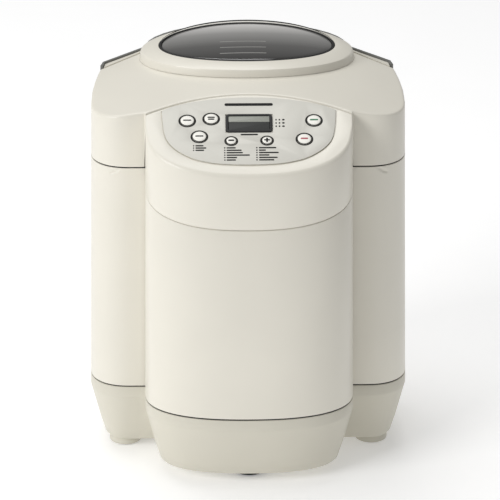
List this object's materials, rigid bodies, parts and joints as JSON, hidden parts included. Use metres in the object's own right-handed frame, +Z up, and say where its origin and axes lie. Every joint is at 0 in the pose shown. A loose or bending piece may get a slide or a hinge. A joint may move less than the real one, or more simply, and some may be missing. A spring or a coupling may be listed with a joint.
{
  "type": "bread machine",
  "caption": "Upright bread machine with a lobed plan, slanted push-button control face, oval window in a hinged lid, and a removable pan with a belt-driven kneading paddle.",
  "frame": {"origin": "on the floor under the middle of the bounding box", "axes": "+Z up, +Y towards the rear hinge, +X to the right seen from the front"},
  "size_m": [0.2844, 0.2741, 0.3552],
  "materials": {
    "shell": "satin cream moulding",
    "light": "satin off-white moulding",
    "overlay": "matt label film",
    "black": "fine matt",
    "dark_grey": "matt",
    "rubber": "matt rubber",
    "smoked_glass": "smoked, polished",
    "lcd": "grey display",
    "steel": "plated",
    "aluminium": "satin sheet",
    "nonstick": "non-stick coating on aluminium",
    "board": "solder mask",
    "nylon": "moulded",
    "heater": "oxidised sheath"
  },
  "bodies": {
    "housing": {"base_tray": "shell", "body_shell": "shell", "front_cover": "shell", "control_housing": "shell", "top_deck": "shell", "rear_cover": "shell", "foot_left": "light", "foot_right": "light", "foot_rear": "light", "control_overlay": "overlay", "cord_inlet": "black", "display_bezel": "black", "rear_vent_strip": "dark_grey", "foot_front": "rubber", "foot_pad_left": "rubber", "foot_pad_right": "rubber", "foot_pad_front": "rubber", "foot_pad_rear": "rubber", "drive_belt": "rubber", "display_module": "lcd", "power_transformer": "steel", "chassis_plate": "steel", "temperature_probe": "steel", "motor": "steel", "motor_clamp_left": "steel", "motor_clamp_right": "steel", "hinge_pin": "steel", "hinge_bracket_left": "steel", "hinge_bracket_right": "steel", "base_screw_left": "steel", "base_screw_right": "steel", "bearing_housing": "aluminium", "baking_chamber": "aluminium", "pan_socket": "aluminium", "control_board": "board", "power_board": "board", "heating_element": "heater"},
    "lid": {"lid_shell": "shell", "window_ring": "shell", "window_gasket": "rubber", "window_lens": "smoked_glass", "lid_liner": "aluminium", "hinge_leaf_left": "steel", "hinge_leaf_right": "steel"},
    "pan": {"bread_pan": "nonstick"},
    "handle": {"pan_handle": "steel"},
    "paddle": {"pan_shaft": "steel", "kneading_paddle": "nonstick"},
    "drive": {"drive_pulley": "nylon", "drive_shaft": "steel", "drive_coupler": "steel"},
    "rotor": {"motor_shaft": "steel", "motor_pulley": "nylon"},
    "select_key": {"select_button": "light"},
    "loaf_key": {"loaf_button": "light"},
    "crust_key": {"crust_button": "light"},
    "minus_key": {"minus_button": "light"},
    "plus_key": {"plus_button": "light"},
    "start_key": {"start_button": "light"},
    "stop_key": {"stop_button": "light"}
  },
  "joints": [
    {"name": "lid_hinge", "type": "hinge", "parent": "housing", "child": "lid", "pos_m": [0, 0.1185, 0.3383], "axis": [-1, 0, 0], "range_deg": [0, 92]},
    {"name": "select_press", "type": "slide", "parent": "housing", "child": "select_key", "axis": [0, 0.4144, -0.9101], "range_m": [0, 0.0008], "stiffness_N_per_m": 800},
    {"name": "loaf_press", "type": "slide", "parent": "housing", "child": "loaf_key", "axis": [0, 0.4144, -0.9101], "range_m": [0, 0.0008], "stiffness_N_per_m": 800},
    {"name": "crust_press", "type": "slide", "parent": "housing", "child": "crust_key", "axis": [0, 0.4144, -0.9101], "range_m": [0, 0.0008], "stiffness_N_per_m": 800},
    {"name": "minus_press", "type": "slide", "parent": "housing", "child": "minus_key", "axis": [0, 0.4144, -0.9101], "range_m": [0, 0.0008], "stiffness_N_per_m": 800},
    {"name": "plus_press", "type": "slide", "parent": "housing", "child": "plus_key", "axis": [0, 0.4144, -0.9101], "range_m": [0, 0.0008], "stiffness_N_per_m": 800},
    {"name": "start_press", "type": "slide", "parent": "housing", "child": "start_key", "axis": [0, 0.4144, -0.9101], "range_m": [0, 0.0008], "stiffness_N_per_m": 800},
    {"name": "stop_press", "type": "slide", "parent": "housing", "child": "stop_key", "axis": [0, 0.4144, -0.9101], "range_m": [0, 0.0008], "stiffness_N_per_m": 800},
    {"name": "pan_twist", "type": "hinge", "parent": "housing", "child": "pan", "pos_m": [0, 0.034, 0.1], "axis": [0, 0, 1], "range_deg": [0, 20]},
    {"name": "handle_pivot", "type": "hinge", "parent": "pan", "child": "handle", "pos_m": [0, 0.034, 0.2], "axis": [1, 0, 0], "range_deg": [0, 178]},
    {"name": "drive_spin", "type": "hinge", "parent": "housing", "child": "drive", "pos_m": [0, 0.034, 0.06], "axis": [0, 0, 1], "continuous": true},
    {"name": "paddle_spin", "type": "hinge", "parent": "pan", "child": "paddle", "pos_m": [0, 0.034, 0.09], "axis": [0, 0, 1], "continuous": true},
    {"name": "motor_spin", "type": "hinge", "parent": "housing", "child": "rotor", "pos_m": [0, -0.098, 0.05], "axis": [0, 0, 1], "continuous": true}
  ],
  "couplings": [
    {"joint": "paddle_spin", "follows": "drive_spin", "ratio": 1},
    {"joint": "motor_spin", "follows": "drive_spin", "ratio": 5.25}
  ]
}
